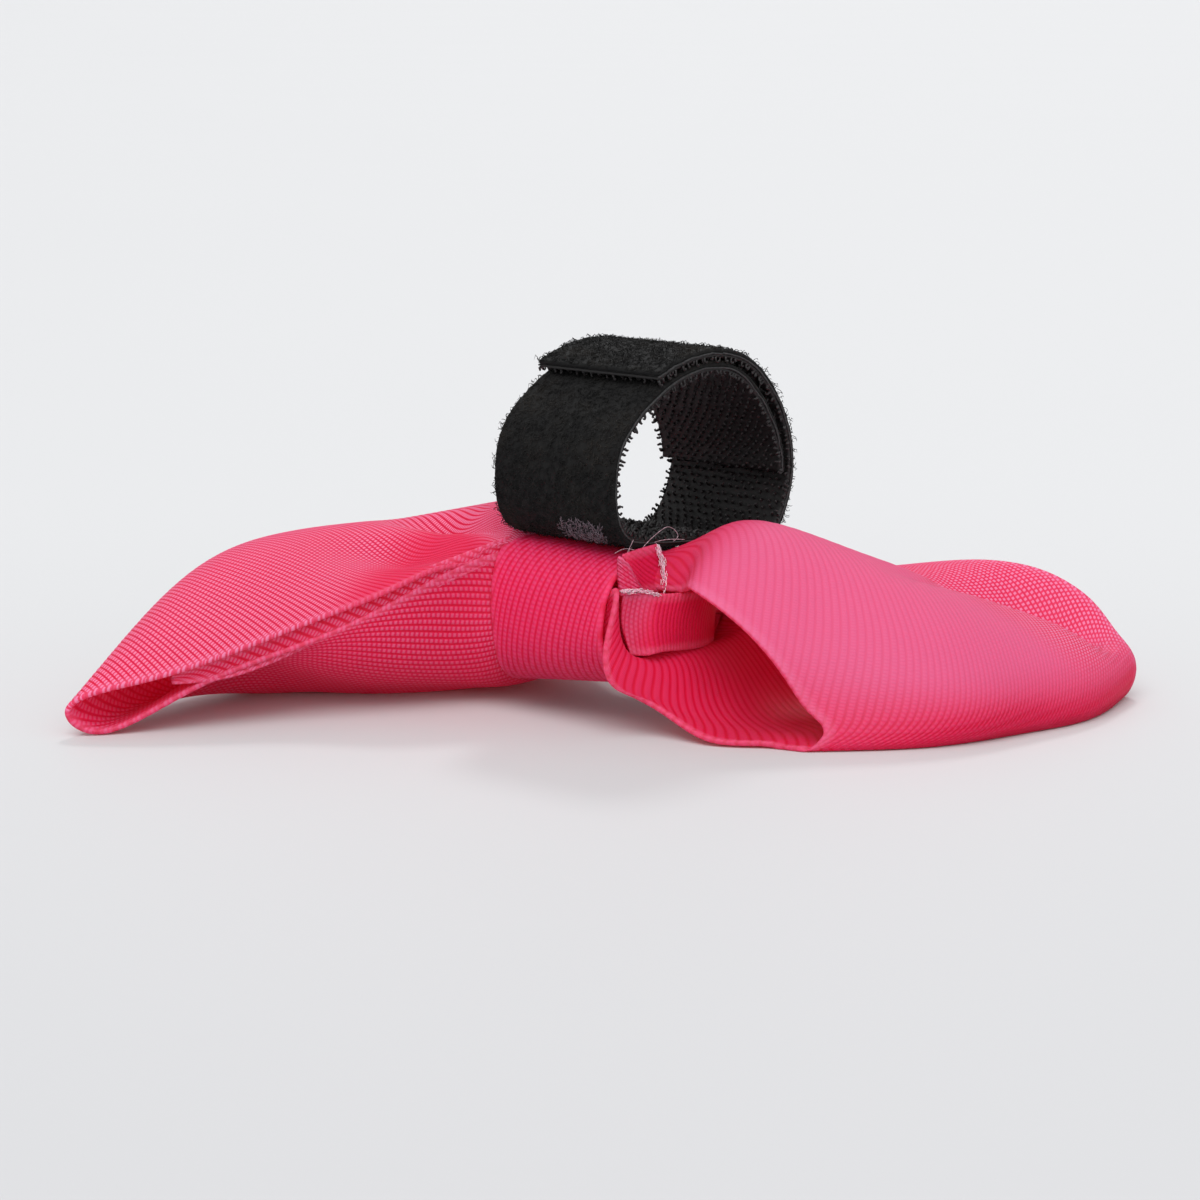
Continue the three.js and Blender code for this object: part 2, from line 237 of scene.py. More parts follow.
def ribbon(name, material, slot, surface, width, slopes, rib_gaps, fold_at=0.5, half_thick=RIBBON_HALF_THICK,
           edge_radius=SELVEDGE_RADIUS, rib_height=RIB_HEIGHT, across_step=ACROSS_STEP, gloss=None):
    """A twill ribbon. surface(shares) gives dense points along the ribbon, (along, across, 3).
    The mesh's rows follow the ribs, so that each rib is a ridge of its own. slopes are the tangents of
    the ribs' angle to the ribbon's length, before and after the fold, and rib_gaps the distances
    between ribs measured across the ribbon, also before and after the fold. The last argument, called
    with (x, y, z, top), says how strongly glints are painted on the knuckles and how pale the ribs are
    painted as a highlight. top is 0 before the fold and 1 after it."""
    columns = int(round(width / across_step)) + 1
    share = np.linspace(0, 1, columns)
    dense = surface(share)
    steps = np.linalg.norm(np.diff(dense, axis=0), axis=-1)
    along = np.concatenate([np.zeros((1, columns)), np.cumsum(steps, axis=0)])
    along -= along[int(fold_at * (len(dense) - 1))]
    across = np.gradient(dense, axis=1)
    normal = unit(np.cross(np.gradient(dense, axis=0), across))
    v = share * width
    nothing = np.zeros(columns)
    parts = [(along[0], nothing, slopes[0], rib_gaps[0]), (nothing, along[-1], slopes[1], rib_gaps[1])]
    all_points, all_faces, all_marks, all_tops, start = [], [], [], [], 0
    for low, high, slope, rib_gap in parts:
        if np.ptp(high - low) == 0 and high[0] == low[0]:
            continue
        reach = np.stack([low, high]) * slope + v
        step = rib_gap / RIB_SAMPLES
        label = np.arange(math.floor(reach.min() / step), math.ceil(reach.max() / step) + 1) * step
        if slope < 0:
            label = label[::-1]
        s = np.clip((label[:, None] - v) / slope, low, high)
        knot_end = ((s <= along[0]) | (s >= along[-1]))

        def read(field):
            return np.stack([
                np.stack([np.interp(s[:, j], along[:, j], field[:, j, k]) for k in range(3)], axis=-1)
                for j in range(columns)], axis=1)

        middle, out, side = read(dense), unit(read(normal)), unit(read(across))
        middle[..., 2] = np.maximum(middle[..., 2], half_thick + rib_height / 2 + FLOOR_GAP)
        rib_count = (s * slope + v) / rib_gap
        pick_count = (s - slope * v) / math.hypot(1, slope) / PICK_PITCH
        from_edge = np.broadcast_to(np.minimum(v, width - v), s.shape)
        weave = np.stack([rib_count, pick_count, from_edge], axis=-1)
        solid = np.where(knot_end, 0.0, 1.0)[..., None]
        relief = (ribs(rib_count) - 0.5) * np.clip(np.abs(s) / RIB_FADE, 0, 1)
        lift = (half_thick + rib_height * relief)[..., None] * solid
        front, back = middle + out * lift, (middle - out * lift)[:, ::-1]
        rings, marks = [front], [weave]
        for column, way in ((-1, 1), (0, -1)):
            bead = edge_radius * (1 + 0.05 * relief[:, column]) * solid[:, column, 0]
            for turn in (45, 90, 135):
                up = math.cos(math.radians(turn)) * (1 if column else -1)
                sideways = math.sin(math.radians(turn)) * way
                shift = up * out[:, column] + sideways * side[:, column]
                rings.append((middle[:, column] + bead[:, None] * shift)[:, None])
                marks.append(weave[:, column][:, None])
            if column:
                rings.append(back)
                marks.append(weave[:, ::-1])
        points, marks = np.concatenate(rings, axis=1), np.concatenate(marks, axis=1)
        rows, count = points.shape[:2]
        all_faces.append(grid_faces(rows, count, True) + start)
        all_points.append(points.reshape(-1, 3))
        all_marks.append(marks.reshape(-1, 3))
        all_tops.append(np.full(rows * count, float(high[0] > 0)))
        start += rows * count
    points = np.concatenate(all_points)
    points[:, 2] = np.maximum(points[:, 2], FLOOR_GAP)
    points, faces, weave, top = welded(points, np.concatenate(all_faces), np.concatenate(all_marks),
                                       np.concatenate(all_tops))
    # The strengths of the painted glints on the knuckles and of the painted highlight on the ribs, kept on
    # the points for the twill.
    knuckle_glints, pale = (0.5, 0.0) if gloss is None else gloss(*points.T, top)
    painted_light_strengths = np.stack([np.broadcast_to(value, len(points)) for value in (knuckle_glints, pale, 0.0)], axis=-1)
    return add_mesh(name, points, faces, material, weave, painted_light_strengths)


def net_surface(net, rows=801):
    """A smooth surface through a net of points, for ribbon()."""
    net = np.array(net, float)
    knots = chord_knots(net)
    lines = spline(net, knots, np.linspace(0, knots[-1], rows)).swapaxes(0, 1)
    side_knots = chord_knots(net.swapaxes(0, 1))
    return lambda share: spline(lines, side_knots, share * side_knots[-1]).swapaxes(0, 1)


# ---------------------------------------------------------------- materials

def new_material(name):
    material = bpy.data.materials.new(name)
    material.use_nodes = True
    nodes = material.node_tree.nodes
    return material, nodes, material.node_tree.links, nodes["Principled BSDF"]


def math_node(nodes, links, operation, a, b=None, c=None):
    node = nodes.new("ShaderNodeMath")
    node.operation = operation
    for socket, value in zip(node.inputs, (a, b, c)):
        if value is None:
            continue
        if isinstance(value, (int, float)):
            socket.default_value = value
        else:
            links.new(value, socket)
    return node.outputs[0]


def mix_colour(nodes, links, factor, a, b):
    node = nodes.new("ShaderNodeMix")
    node.data_type = "RGBA"
    for socket, value in ((node.inputs["Factor"], factor), (node.inputs[6], a), (node.inputs[7], b)):
        if isinstance(value, tuple):
            socket.default_value = (*value, 1)
        elif isinstance(value, (int, float)):
            socket.default_value = value
        else:
            links.new(value, socket)
    return node.outputs[2]


def noise(nodes, links, scale, detail=2.0, vector=None):
    node = nodes.new("ShaderNodeTexNoise")
    node.inputs["Scale"].default_value = scale
    node.inputs["Detail"].default_value = detail
    if vector is None:
        vector = nodes.new("ShaderNodeTexCoord").outputs["Object"]
    links.new(vector, node.inputs["Vector"])
    return node.outputs["Fac"]


def ramp(nodes, links, value, low, high):
    node = nodes.new("ShaderNodeMapRange")
    node.interpolation_type = "SMOOTHSTEP"
    node.inputs["From Min"].default_value = low
    node.inputs["From Max"].default_value = high
    links.new(value, node.inputs["Value"])
    return node.outputs["Result"]


def twill(name, ridge_highlight, groove_shade, dot, pale, knuckle_glints):
    """Polyester twill: ribs with a knuckle at each pick, paler at its edges. Its colour holds painted
    light: the ribs are painted lighter as a highlight and the grooves between them darker as shade,
    the ribs turn pale as a painted highlight where they face up, and the knuckles carry painted glints.
    Some light comes through it. The last argument says how strongly the painted glints on its knuckles
    may show."""
    material, nodes, links, shader = new_material(name)
    attribute = nodes.new("ShaderNodeAttribute")
    attribute.attribute_name = "weave"
    split = nodes.new("ShaderNodeSeparateXYZ")
    links.new(attribute.outputs["Vector"], split.inputs[0])
    rib, pick, edge = split.outputs

    def m(operation, a, b=None, c=None):
        return math_node(nodes, links, operation, a, b, c)

    wave = m("ABSOLUTE", m("COSINE", m("MULTIPLY", rib, math.pi)))
    row = m("ROUND", rib)
    knuckle = m("ABSOLUTE", m("COSINE", m("MULTIPLY", m("MULTIPLY_ADD", row, 0.38, pick), math.pi)))
    ridge_share = ramp(nodes, links, wave, 0.1, 0.85)
    dot_share = m("MULTIPLY", ramp(nodes, links, wave, 0.35, 0.8), ramp(nodes, links, knuckle, 0.4, 0.85))
    patch = noise(nodes, links, 90, 3)
    speck = noise(nodes, links, 2600, 2)
    # Painted highlight on the ribs and painted shade in the grooves between them.
    colour = mix_colour(nodes, links, ridge_share, groove_shade, ridge_highlight)
    painted_light_strengths = nodes.new("ShaderNodeAttribute")
    painted_light_strengths.attribute_name = "painted_light_strengths"
    strengths = nodes.new("ShaderNodeSeparateXYZ")
    links.new(painted_light_strengths.outputs["Vector"], strengths.inputs[0])
    # Painted highlight: the colour turns pale where the surface faces up towards the overhead light, as
    # strongly as the second painted-light strength on its points says.
    facing_up = nodes.new("ShaderNodeSeparateXYZ")
    links.new(nodes.new("ShaderNodeNewGeometry").outputs["Normal"], facing_up.inputs[0])
    painted_highlight_share = m("MULTIPLY", strengths.outputs[1], ramp(nodes, links, facing_up.outputs[2], -0.2, 0.5))
    painted_highlight_share = m("MULTIPLY", painted_highlight_share, m("MULTIPLY_ADD", ridge_share, 0.12, 0.88))
    colour = mix_colour(nodes, links, painted_highlight_share, colour, pale)
    # Painted glints: the knuckles on the ribs take the pale dot colour, as strongly as the first
    # painted-light strength on its points says.
    dot_share = m("MULTIPLY", dot_share, strengths.outputs[0])
    dotted = m("MULTIPLY", dot_share, m("MULTIPLY_ADD", patch, knuckle_glints, knuckle_glints * 0.5))
    colour = mix_colour(nodes, links, dotted, colour, dot)
    selvedge = m("SUBTRACT", 1, ramp(nodes, links, edge, 0.2, 1.1))
    selvedge = m("MULTIPLY", selvedge, m("MULTIPLY_ADD", speck, 0.4, 0.02))
    colour = mix_colour(nodes, links, selvedge, colour, dot)
    links.new(colour, shader.inputs["Base Color"])
    height = m("MULTIPLY_ADD", m("MULTIPLY", knuckle, wave), 1.0, m("MULTIPLY", speck, 0.5))
    bump = nodes.new("ShaderNodeBump")
    bump.inputs["Strength"].default_value = 0.6
    bump.inputs["Distance"].default_value = 0.00006
    links.new(height, bump.inputs["Height"])
    links.new(bump.outputs[0], shader.inputs["Normal"])
    links.new(m("MULTIPLY_ADD", speck, 0.2, 0.42), shader.inputs["Roughness"])
    shader.inputs["Specular IOR Level"].default_value = 0.22
    shader.inputs["Sheen Weight"].default_value = 0.06
    shader.inputs["Sheen Roughness"].default_value = 0.4
    shader.inputs["Sheen Tint"].default_value = (1, 0.55, 0.72, 1)
    glow = nodes.new("ShaderNodeBsdfTranslucent")
    glow.inputs["Color"].default_value = (0.93, 0.045, 0.2, 1)
    mixed = nodes.new("ShaderNodeMixShader")
    mixed.inputs["Fac"].default_value = 0.42
    links.new(shader.outputs[0], mixed.inputs[1])
    links.new(glow.outputs[0], mixed.inputs[2])
    links.new(mixed.outputs[0], nodes["Material Output"].inputs["Surface"])
    return material


def pile_material(name, dark, light, warm):
    """Brushed nylon pile: near black, paler and warmer where the fibres stand up."""
    material, nodes, links, shader = new_material(name)
    clump = noise(nodes, links, 900, 3)
    patch = noise(nodes, links, 160, 2)
    colour = mix_colour(nodes, links, ramp(nodes, links, clump, 0.42, 0.66), dark, light)
    warmth = math_node(nodes, links, "MULTIPLY", ramp(nodes, links, patch, 0.45, 0.7), 0.35)
    colour = mix_colour(nodes, links, warmth, colour, warm)
    links.new(colour, shader.inputs["Base Color"])
    bump = nodes.new("ShaderNodeBump")
    bump.inputs["Strength"].default_value = 0.8
    bump.inputs["Distance"].default_value = 0.0002
    links.new(clump, bump.inputs["Height"])
    links.new(bump.outputs[0], shader.inputs["Normal"])
    links.new(math_node(nodes, links, "MULTIPLY_ADD", clump, 0.2, 0.7), shader.inputs["Roughness"])
    shader.inputs["Specular IOR Level"].default_value = 0.2
    shader.inputs["Sheen Weight"].default_value = 0.03
    return material


def hook_material(name, dark, light, roughness):
    """Moulded and woven nylon: near black, a little glossy, uneven."""
    material, nodes, links, shader = new_material(name)
    grain = noise(nodes, links, 3000, 2)
    colour = mix_colour(nodes, links, ramp(nodes, links, grain, 0.35, 0.7), dark, light)
    links.new(colour, shader.inputs["Base Color"])
    bump = nodes.new("ShaderNodeBump")
    bump.inputs["Strength"].default_value = 0.5
    bump.inputs["Distance"].default_value = 0.00005
    links.new(grain, bump.inputs["Height"])
    links.new(bump.outputs[0], shader.inputs["Normal"])
    links.new(math_node(nodes, links, "MULTIPLY_ADD", grain, 0.2, roughness), shader.inputs["Roughness"])
    return material


def thread_material(name, colour, pale):
    """Spun thread: a fine slanting twist along it, with paler fuzz."""
    material, nodes, links, shader = new_material(name)
    twist = nodes.new("ShaderNodeTexWave")
    twist.inputs["Scale"].default_value = 1500
    twist.inputs["Distortion"].default_value = 2
    links.new(nodes.new("ShaderNodeTexCoord").outputs["Object"], twist.inputs["Vector"])
    links.new(mix_colour(nodes, links, twist.outputs["Fac"], colour, pale), shader.inputs["Base Color"])
    bump = nodes.new("ShaderNodeBump")
    bump.inputs["Distance"].default_value = 0.00005
    links.new(twist.outputs["Fac"], bump.inputs["Height"])
    links.new(bump.outputs[0], shader.inputs["Normal"])
    roughness = math_node(nodes, links, "MULTIPLY_ADD", twist.outputs["Fac"], 0.2, 0.5)
    links.new(roughness, shader.inputs["Roughness"])
    shader.inputs["Sheen Weight"].default_value = 0.2
    return material


def floor_material():
    """Matt white table, hardly uneven, and a little greyer towards the front as painted shade."""
    material, nodes, links, shader = new_material("white_table")
    patch = noise(nodes, links, 6, 3)
    place = nodes.new("ShaderNodeSeparateXYZ")
    links.new(nodes.new("ShaderNodeTexCoord").outputs["Object"], place.inputs[0])
    # Painted shade: the table's colour turns greyer towards the front.
    forward = math_node(nodes, links, "SUBTRACT", place.outputs[0], place.outputs[1])
    nearness = ramp(nodes, links, forward, -0.25, 0.3)
    colour = mix_colour(nodes, links, nearness, (0.6, 0.605, 0.615), (0.53, 0.532, 0.545))
    unevenness = math_node(nodes, links, "MULTIPLY", patch, 0.2)
    colour = mix_colour(nodes, links, unevenness, colour, (0.63, 0.635, 0.64))
    links.new(colour, shader.inputs["Base Color"])
    links.new(math_node(nodes, links, "MULTIPLY_ADD", patch, 0.1, 0.55), shader.inputs["Roughness"])
    shader.inputs["Specular IOR Level"].default_value = 0.3
    return material


# Painted light in both twills: the ridge colour is a painted highlight, the groove colour painted shade, pale
# a painted highlight where the surface faces up, and dot the colour of the painted glints on the knuckles and
# of the paler edges.
pink_ribbon = twill("pink_twill", ridge_highlight=(0.86, 0.018, 0.115), groove_shade=(0.72, 0.005, 0.05),
                    dot=(0.93, 0.31, 0.56), pale=(0.83, 0.17, 0.38), knuckle_glints=0.9)
# Painted light: the band's twill is a brighter copy of the loops' twill, standing in for the light that falls
# more strongly on the band.
pink_band = twill("lit_pink_band_twill", ridge_highlight=(1.0, 0.035, 0.17), groove_shade=(0.86, 0.01, 0.07),
                  dot=(1.0, 0.12, 0.3), pale=(0.9, 0.1, 0.2), knuckle_glints=0.9)
black_pile = pile_material("black_pile", dark=(0.0015, 0.0015, 0.0017), light=(0.005, 0.005, 0.005),
                           warm=(0.008, 0.007, 0.006))
pile_fibre = pile_material("black_pile_fibre", dark=(0.001, 0.001, 0.0011), light=(0.009, 0.0088, 0.0086),
                           warm=(0.032, 0.025, 0.019))
hook_back = hook_material("black_hook_tape", (0.0012, 0.0007, 0.0008), (0.004, 0.0026, 0.003), 0.55)
black_hook = hook_material("black_hook", (0.0025, 0.0016, 0.0019), (0.014, 0.01, 0.011), 0.36)
cut_edge = hook_material("grey_cut_edge", (0.012, 0.012, 0.0125), (0.035, 0.035, 0.036), 0.6)
crease_thread = thread_material("pale_pink_crease_thread", (1.0, 0.32, 0.5), (1.0, 0.8, 0.88))
loose_thread = thread_material("loose_thread", (0.3, 0.16, 0.2), (0.6, 0.42, 0.48))
pink_thread = thread_material("pink_thread", (0.55, 0.10, 0.2), (0.8, 0.35, 0.45))
grey_thread = thread_material("grey_thread", (0.05, 0.028, 0.04), (0.22, 0.15, 0.19))

# ---------------------------------------------------------------- camera, light and table

CAMERA_AZIMUTH_DEG = 42
CAMERA_ELEVATION_DEG = 11
CAMERA_AIM = (-2.2, 1.5, 13.4)
CAMERA_DISTANCE = 422


def add_camera():
    azimuth, elevation = math.radians(CAMERA_AZIMUTH_DEG), math.radians(CAMERA_ELEVATION_DEG)
    level = math.cos(elevation)
    back = np.array([math.sin(azimuth) * level, -math.cos(azimuth) * level, math.sin(elevation)])
    data = bpy.data.cameras.new("camera")
    data.lens, data.sensor_width = 100, 36
    data.clip_start, data.clip_end = 0.01, 50
    camera = bpy.data.objects.new("camera", data)
    camera.location = placed(np.array(CAMERA_AIM) + back * CAMERA_DISTANCE)
    camera.rotation_euler = (math.pi / 2 - elevation, 0, azimuth)
    bpy.context.scene.collection.objects.link(camera)
    bpy.context.scene.camera = camera


def add_sun(name, energy, azimuth_deg, elevation_deg, spread_deg):
    """A soft light from one side of the sky."""
    data = bpy.data.lights.new(name, "SUN")
    data.energy, data.angle = energy, math.radians(spread_deg)
    sun = bpy.data.objects.new(name, data)
    sun.rotation_euler = (math.radians(90 - elevation_deg), 0, math.radians(azimuth_deg))
    bpy.context.scene.collection.objects.link(sun)


def add_studio():
    world = bpy.data.worlds.new("studio")
    world.use_nodes = True
    background = world.node_tree.nodes["Background"]
    background.inputs["Color"].default_value = (0.985, 0.99, 1.0, 1)
    background.inputs["Strength"].default_value = 0.68
    bpy.context.scene.world = world
    add_sun("overhead_softbox", 1.5, 20, 62, 50)
    add_sun("front_fill", 0.85, 50, 30, 60)
    add_sun("back_light", 0.6, 215, 46, 10)
    mesh = bpy.data.meshes.new("table")
    half = 12
    corners = [(-half, -half, 0), (half, -half, 0), (half, half, 0), (-half, half, 0)]
    mesh.from_pydata(corners, [], [(0, 1, 2, 3)])
    mesh.materials.append(floor_material())
    table = bpy.data.objects.new("table", mesh)
    bpy.context.scene.collection.objects.link(table)
    bpy.context.scene.view_settings.view_transform = "Standard"
    bpy.context.scene.view_settings.look = "None"


add_camera()
add_studio()

# ---------------------------------------------------------------- ribbon pieces

# How far the band may rise at each place front to back, so that it stays under the strap.
UNDER_STRAP_Y = (-9.6, -8.2, -6.6, -3.6, 2, 8, 12.4, 16.4)
UNDER_STRAP_Z = (25.4, 23.6, 22.5, 22.0, 21.5, 20.9, 19.8, 18.8)


def knot_point(angle, grow, lean_deg=0.0, sink=0.0, taller=0.0):
    """The knot's outline in the YZ plane, a leaning superellipse grown outwards."""
    c, s, power = np.cos(angle), np.sin(angle), 2 / KNOT_SQUARENESS
    y = (KNOT_HALF_DEPTH + grow) * np.sign(c) * np.abs(c)**power
    z = (KNOT_HALF_HEIGHT + grow) * (1 + taller) * np.sign(s) * np.abs(s)**power
    tilt = np.radians(KNOT_TILT_DEG + lean_deg)
    y, z = (KNOT_CENTRE[0] + y * np.cos(tilt) - z * np.sin(tilt),
            KNOT_CENTRE[1] + y * np.sin(tilt) + z * np.cos(tilt) - sink)
    return y, np.minimum(z, np.interp(y, UNDER_STRAP_Y, UNDER_STRAP_Z) + grow + BAND_THICK / 2)


def even_angles(count):
    """Angles round the knot from its far side, evenly spaced along its outline."""
    angle = np.linspace(0, 2 * math.pi, 4001)
    outline = np.stack(knot_point(angle, 0), axis=-1)
    length = np.concatenate([[0], np.cumsum(np.linalg.norm(np.diff(outline, axis=0), axis=-1))])
    return np.interp(np.linspace(0, length[-1], count), length, angle)


def band_surface(share):
    """The band's middle layer, from its seam on the far side all the way round.
    The band is twisted a little: it leans back on the left and forward on the right."""
    angle = even_angles(901)[:, None]
    x = (share - 0.5) * (BAND_WIDTH - 0.8)
    twist = x / (BAND_WIDTH / 2)
    near_and_low = np.maximum(0, np.cos(angle - 1.2 * math.pi))**2
    near_and_high = np.maximum(0, np.cos(angle - 0.72 * math.pi))**4
    sink = near_and_low * (1.0 - 0.5 * twist) - 1.1 * near_and_high * (1 - twist)
    taller = 0.12 * np.maximum(0, -np.cos(angle))
    x = x - 0.9 * np.sign(x) * np.abs(twist)**3 * np.maximum(0, np.cos(angle - 1.05 * math.pi))**4
    y, z = knot_point(angle, -BAND_THICK / 2, BAND_LEAN_DEG * (1 - twist), sink, taller)
    x, y, z = np.broadcast_arrays(x, y, z)
    return np.stack([x, y, z], axis=-1)


def waist_surface(share):
    """The gathered middle of the bow, in deep pleats that close up at its two ends."""
    angle = even_angles(601)[:, None]
    x = (share - 0.5) * WAIST_LENGTH
    closed = np.clip((np.abs(x) - WAIST_CLOSES_AT) / WAIST_CLOSES_OVER, 0, 1)**2
    shrink = 1 - 0.72 * closed
    pleat = (np.cos(WAIST_PLEATS * angle) - 1) * (1 - 0.9 * closed)
    y, z = knot_point(angle, -WAIST_INSET + WAIST_PLEAT_DEPTH * pleat)
    y = KNOT_CENTRE[0] + (y - KNOT_CENTRE[0]) * shrink
    z = KNOT_CENTRE[1] + (z - KNOT_CENTRE[1]) * shrink
    x, y, z = np.broadcast_arrays(x, y, z)
    return np.stack([x, y, z], axis=-1)


def under_band(x, angles):
    """A row of points just inside the band at x, at angles in half turns from the far side."""
    y, z = knot_point(np.array(angles) * math.pi, -1.5)
    return [(x, *place) for place in zip(y, z)]


def smooth(value, low, high):
    t = np.clip((value - low) / (high - low), 0, 1)
    return t * t * (3 - 2 * t)


def crease(points, path, depths, width):
    """Presses a soft groove into a surface along a path given as (x, y), depths in millimetres."""
    path, depths = np.array(path, float), np.array(depths, float)
    line = np.linspace(0, len(path) - 1, 60)
    spots = np.stack([np.interp(line, np.arange(len(path)), path[:, k]) for k in range(2)], axis=-1)
    deep = np.interp(line, np.arange(len(path)), depths)
    away = np.linalg.norm(points[..., None, :2] - spots, axis=-1)
    pressed = points.copy()
    pressed[..., 2] -= np.max(deep * np.exp(-(away / width)**2), axis=-1)
    return pressed


def creased_surface(net, creases):
    """A net's surface with creases pressed into the top layer, which is the second half of its rows."""
    plain = net_surface(net)

    def surface(share):
        points = plain(share)
        on_top = smooth(np.linspace(0, 1, len(points)), 0.5, 0.56)[:, None, None]
        for path, depths, width in creases:
            points = points + on_top * (crease(points, path, depths, width) - points)
        return points

    return surface


def add_ribbon_piece(name, net, width, slopes, rib_gaps, fold_at, creases=(), **more):
    surface = creased_surface(net, creases)
    piece = ribbon(name, pink_ribbon, "pink_ribbon", surface, width, slopes, rib_gaps, fold_at, **more)
    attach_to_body(piece, "root")
    return piece


right_net = [under_band(6.5, (1.02, 1.2, 1.45, 1.7, 1.95)), *RIGHT_LOOP,
             under_band(6.5, (0.78, 0.68, 0.5, 0.3, 0.05))]
left_net = [[(-8.4, -5.2, 20), *under_band(-6.5, (1.05, 1.3, 1.65, 1.95))], *LEFT_LOOP,
            [(-8.4, -5.2, 21.3), *under_band(-6.5, (0.68, 0.5, 0.3, 0.05))]]


# Each crease is a path as (x, y), its depth at each point of the path, and its width.
RIGHT_CREASES = [
    ([(24, 29), (28.5, 36), (33, 42), (38, 45.5), (43, 46), (46.5, 45)], (0.6, 2.6, 3.6, 3.4, 2.4, 1.2), 3.4),
    ([(29.5, 20), (30.5, 26), (31.5, 33), (34, 38.5)], (0.4, 1.2, 1.6, 1.0), 1.9),
    ([(30, 6), (37, 13)], (0.6, 0.3), 3.5),
]
LEFT_CREASES = [
    ([(-25, -11.5), (-18.5, -9), (-12.5, -6.8)], (0.9, 2.8, 2.2), 2.1),
    ([(-26, -22), (-18.4, -16.6), (-13, -12.2)], (0.6, 2.3, 2.0), 2.5),
]


def right_gloss(x, y, z, top):
    """Painted light: few painted glints on the near side, where the top layer is painted pale as a highlight,
    more so higher up and away from the knot; painted glints on the knuckles where the ribbon turns away at
    the far side.
    """
    far = smooth(y - 0.3 * x, 15, 26) * smooth(z, 4, 9)
    return 0.1 + 1.1 * far, top * (0.25 + 0.6 * smooth(z, 2, 9)) * (1 - 0.75 * far) * smooth(x, 12, 21)


def left_gloss(x, y, z, top):
    """Painted glints on the knuckles of the outer layer, faded as painted shade in the dip near the knot, and
    a faint painted highlight on the lower layer.
    """
    dip_shade = smooth(x, -25, -17) * smooth(-y, 7, 11)
    return 0.4 + top * (1.2 - 1.4 * dip_shade), 0.05 - 0.05 * top


right_loop = add_ribbon_piece("right_loop_ribbon", right_net, RIBBON_WIDTH, (0.75, -0.5), (1.1, 0.7), 0.46,
                              RIGHT_CREASES, rib_height=0.035, gloss=right_gloss)
left_loop = add_ribbon_piece("left_loop_ribbon", left_net, RIBBON_WIDTH, (0.6, 0.85), (1.25, 0.72), 0.5,
                             LEFT_CREASES, gloss=left_gloss)

# The strip of ribbon that shows between the left loop's two near edges.
LEFT_EDGE_PLEAT = [
    [(-9.6, -6.8, 21.8), (-9.6, -7.4, 20.4), (-9.8, -8.8, 19.2)],
    [(-15.2, -18.6, 18.0), (-15.2, -19.0, 16.0), (-15.6, -19.9, 14.5)],
    [(-22.6, -28.6, 13.4), (-22.6, -29.2, 11.2), (-22.6, -29.9, 9.5)],
    [(-27.6, -38.4, 9.4), (-27.6, -38.4, 7.6), (-27.4, -39.2, 6.3)],
    [(-30.9, -45.2, 6.7), (-30.8, -45.2, 6.4), (-30.7, -45.2, 6.1)],
]
left_pleat = add_ribbon_piece("left_edge_pleat", LEFT_EDGE_PLEAT, 3, (0.5, 0.5), (0.8, 0.8), 0,
                              half_thick=0.2, edge_radius=0.2, across_step=0.3)

# Pleats beside the knot on the right, from left to right, each row from top to bottom.
BOX_PLEAT = [
    [(10.4, -8.4, 17.0), (10.4, -8.6, 13.4), (11.2, -8.0, 10.0)],
    [(11.6, -6.6, 17.3), (11.7, -7.0, 13.6), (12.0, -7.4, 9.9)],
    [(12.9, -5.4, 17.0), (13.1, -6.2, 13.4), (13.2, -6.8, 10.0)],
    [(13.6, -3.6, 16.7), (13.8, -4.4, 13.2), (13.8, -5.4, 10.2)],
    [(14.2, -0.6, 16.6), (14.0, -1.0, 13.2), (13.8, -1.6, 9.9)],
    [(13.4, 4.8, 15.6), (13.1, 4.6, 12.6), (12.8, 4.4, 9.4)],
    [(11.6, 7.6, 14.6), (11.4, 7.6, 12.0), (11.2, 7.6, 9.2)],
]
SLIVER_PLEAT = [
    [(10.0, -8.9, 21.7), (10.1, -9.1, 20.0), (10.3, -8.9, 17.3)],
    [(10.8, -8.6, 21.4), (11.0, -8.1, 19.6), (11.2, -7.6, 17.3)],
    [(11.0, -7.8, 20.2), (11.6, -7.0, 18.8), (12.2, -6.2, 17.3)],
]
RECESS = [
    [(10.3, -8.2, 21.8), (10.9, -7.5, 19.9), (11.4, -6.6, 17.3)],
    [(10.1, -5.8, 22.0), (10.4, -5.0, 19.6), (11.0, -5.0, 17.2)],
    [(10.7, -2.4, 22.4), (11.0, -1.8, 19.8), (11.3, -2.2, 17.0)],
]


def pleat_gloss(x, y, z, top):
    """Only the outer corner of a pleat catches the light, more of it higher up."""
    lit = smooth(0.3 * (z - 17) - y, 5.0, 6.8)
    return 0.25 * lit, 0.65 * lit


def dull_gloss(x, y, z, top):
    """Neither painted glints on the knuckles nor a painted highlight on the ribs deep in a fold, which leaves
    it darker there as painted shade.
    """
    return 0.0, 0.0


PLEAT = {"half_thick": 0.25, "edge_radius": 0.3, "across_step": 0.4}
right_pleats = [
    add_ribbon_piece("box_pleat", BOX_PLEAT, 7, (6, 6), (3.6, 3.6), 0, gloss=pleat_gloss, **PLEAT),
    add_ribbon_piece("sliver_pleat", SLIVER_PLEAT, 4.6, (-0.5, -0.5), (0.7, 0.7), 0, gloss=pleat_gloss,
                     **PLEAT),
    add_ribbon_piece("recess_pleat", RECESS, 5, (-0.9, -0.9), (0.9, 0.9), 0, gloss=dull_gloss, **PLEAT),
]

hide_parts("right_loop")
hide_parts("left_loop")

waist = ribbon("gathered_waist_ribbon", pink_ribbon, "pink_ribbon", waist_surface, WAIST_LENGTH,
               (0.5, 0.5), (1.0, 1.0), 0, across_step=0.3)
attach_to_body(waist, "root")
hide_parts("gathered_waist")

